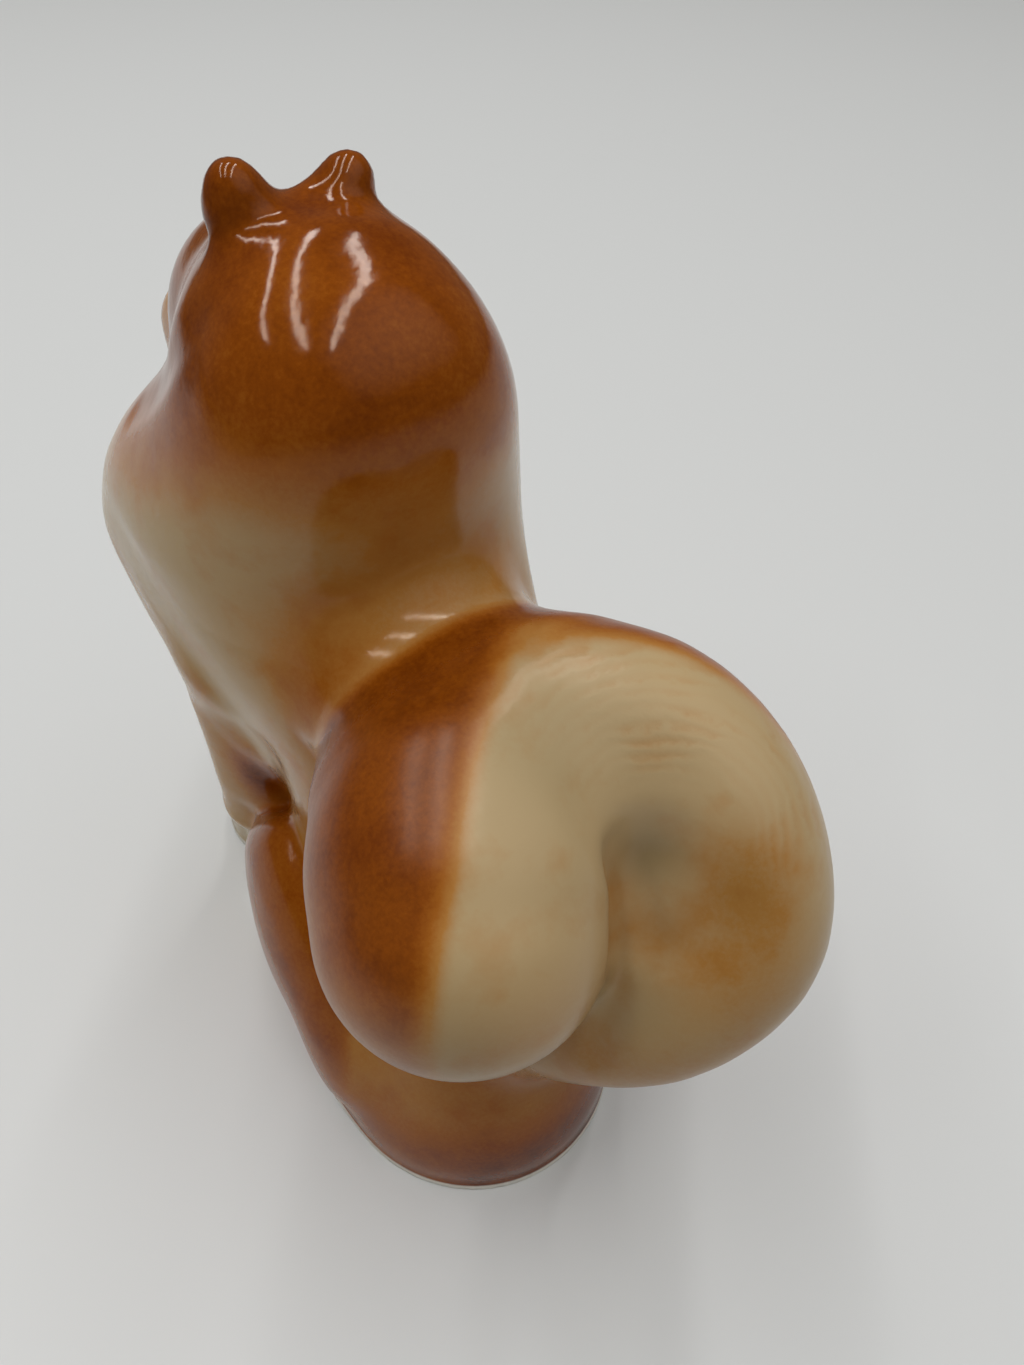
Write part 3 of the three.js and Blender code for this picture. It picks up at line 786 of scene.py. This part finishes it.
def closed_skin(name, node, faces, material):
    """A casting's glazed skin as a closed sheet of even thickness."""
    used, local = np.unique(faces, return_inverse=True)
    outer = local.reshape(-1, 3)
    count = len(used)
    edges = np.concatenate([outer[:, [0, 1]], outer[:, [1, 2]], outer[:, [2, 0]]])
    codes = edges[:, 0] * count + edges[:, 1]
    rim = edges[~np.isin(codes, edges[:, 1] * count + edges[:, 0])]
    rim_faces = np.stack([rim[:, 1], rim[:, 0], rim[:, 0] + count, rim[:, 1] + count], axis=1)
    spots = np.concatenate([points[used], points[used] - GLAZE_SKIN * normals[used]]) * MM
    mesh = bpy.data.meshes.new(name)
    mesh.from_pydata(spots.tolist(), [], outer.tolist() + (outer[:, ::-1] + count).tolist() + rim_faces.tolist())
    mesh.polygons.foreach_set("use_smooth", np.ones(len(mesh.polygons), bool))
    for key, coat in paint.items():
        values = np.tile(coat[used], 2).astype(np.float32)
        mesh.attributes.new(key, "FLOAT", "POINT").data.foreach_set("value", values)
    mesh.normals_split_custom_set_from_vertices(np.concatenate([normals[used], -normals[used]]).tolist())
    mesh.materials.append(material)
    piece = bpy.data.objects.new(name, mesh)
    bpy.context.scene.collection.objects.link(piece)
    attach(piece, "root")
    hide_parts(node)
    return piece


porcelain_paint = airbrushed_porcelain()
SLOTS = {part["node"]: part["material_slot"] for part in frame["record"]["subparts"]}
SHINE = {"rust_glaze": 0.28, "tan_glaze": 0.15, "white_glaze": 0.06, "brush_glaze": 0.4}
GLAZES = {name: glaze(name, porcelain_paint, shine) for name, shine in SHINE.items()}
for node, piece_faces in pieces.items():
    material = GLAZES["brush_glaze" if node == "tail_curl" else SLOTS[node]]
    piece = closed_skin(node + "_skin", node, piece_faces, material)


# The table is pale about the dog and painted darker towards its far edges, painted shade where the lamps' light
# falls off.
TABLE = {"half": 4.0, "rough": 0.55, "pale": (0.70, 0.71, 0.705, 1), "far": (0.3, 0.265, 0.21, 1),
         "middle": (-0.2, -0.25, 0), "fade": (0.38, 0.8)}
# Three lamp strips hang over the table side by side.
STRIP = {"count": 3, "length": 1.3, "width": 0.065, "apart": 0.38, "height": 1.0, "along": -0.1, "across": 0.25,
         "watts": 3.4}
STRIP_RUN = Vector((0.6, 0.8, 0))
STRIP_ROW = Vector((0.8, -0.6, 0))
# A broad soft panel high behind the dog's right haunch fills the side that the strips leave dim. It is
# brightest in the middle.
PANEL = {"width": 3.4, "height": 2.8, "at": (-0.7, 0.9, 1.6), "watts": 10.0, "swell": 6.0}
STUDIO_GREY = (0.10, 0.095, 0.085, 1)
# The camera looks down on the dog's back from over its left shoulder blade.
CAMERA = {"at": (0.0242, 0.0515, 0.119), "turn": math.radians(30), "down": math.radians(45), "lens": 27.03,
          "sensor": 36, "clip_start": 0.005}


def put(name, data):
    """A new object in the scene."""
    made = bpy.data.objects.new(name, data)
    bpy.context.scene.collection.objects.link(made)
    return made


def pale_table():
    material = bpy.data.materials.new("pale_table")
    material.use_nodes = True
    tree = material.node_tree
    place = tree.nodes.new("ShaderNodeTexCoord").outputs["Object"]
    away = shader_node(tree, "ShaderNodeVectorMath", {0: place, 1: TABLE["middle"]}, operation="DISTANCE")
    share = map_range(tree, away.outputs["Value"], *TABLE["fade"], interpolation_type="SMOOTHSTEP")
    skin = tree.nodes["Principled BSDF"]
    tree.links.new(mix_colour(tree, share, TABLE["pale"], TABLE["far"]), skin.inputs["Base Color"])
    skin.inputs["Roughness"].default_value = TABLE["rough"]
    return material


def lamp_panel(name, width, length, watts):
    lamp = bpy.data.lights.new(name, "AREA")
    lamp.shape = "RECTANGLE"
    lamp.size, lamp.size_y = width, length
    lamp.energy = watts
    return put(name, lamp)


def soften_edges(lamp):
    """Makes a lamp fade from its middle to its edges."""
    lamp.use_nodes = True
    tree = lamp.node_tree
    spot = tree.nodes.new("ShaderNodeNewGeometry").outputs["Parametric"]
    across = shader_node(tree, "ShaderNodeSeparateXYZ", {0: spot}).outputs
    falls = []
    for axis in ("X", "Y"):
        swell = math_node(tree, "MULTIPLY", across[axis], math_node(tree, "SUBTRACT", 1.0, across[axis]))
        falls.append(math_node(tree, "MULTIPLY", swell, PANEL["swell"]))
    tree.links.new(math_node(tree, "MULTIPLY", *falls), tree.nodes["Emission"].inputs["Strength"])


floor_mesh = bpy.data.meshes.new("table")
corners = [(x * TABLE["half"], y * TABLE["half"], 0) for x, y in ((-1, -1), (1, -1), (1, 1), (-1, 1))]
floor_mesh.from_pydata(corners, [], [(0, 1, 2, 3)])
floor_mesh.materials.append(pale_table())
floor = put("table", floor_mesh)

for index in range(STRIP["count"]):
    strip = lamp_panel("strip_lamp", STRIP["width"], STRIP["length"], STRIP["watts"])
    across = STRIP["across"] + STRIP["apart"] * (1 - index)
    middle = STRIP_RUN * STRIP["along"] + STRIP_ROW * across + Vector((0, 0, STRIP["height"]))
    axes = Matrix((STRIP_ROW, STRIP_RUN, Vector((0, 0, 1)))).transposed()
    strip.matrix_world = Matrix.Translation(middle) @ axes.to_4x4()

panel = lamp_panel("soft_panel", PANEL["width"], PANEL["height"], PANEL["watts"])
soften_edges(panel.data)
panel.location = PANEL["at"]
panel.rotation_euler = (-panel.location).to_track_quat("-Z", "Y").to_euler()

world = bpy.data.worlds.new("studio")
bpy.context.scene.world = world
world.use_nodes = True
tree = world.node_tree
tree.nodes.clear()
sky = shader_node(tree, "ShaderNodeBackground", {"Color": STUDIO_GREY, "Strength": 1.0})
shader_node(tree, "ShaderNodeOutputWorld", {"Surface": sky.outputs[0]})

turn, down = CAMERA["turn"], CAMERA["down"]
right = Vector((-math.cos(turn), math.sin(turn), 0))
look = Vector((-math.sin(turn) * math.cos(down), -math.cos(turn) * math.cos(down), -math.sin(down)))
camera = put("camera", bpy.data.cameras.new("camera"))
camera_axes = Matrix((right, right.cross(look), -look)).transposed()
camera.matrix_world = Matrix.Translation(CAMERA["at"]) @ camera_axes.to_4x4()
camera.data.lens = CAMERA["lens"]
camera.data.sensor_width = CAMERA["sensor"]
camera.data.clip_start = CAMERA["clip_start"]
bpy.context.scene.camera = camera
bpy.context.scene.view_settings.view_transform = "Standard"

bpy.context.view_layer.update()
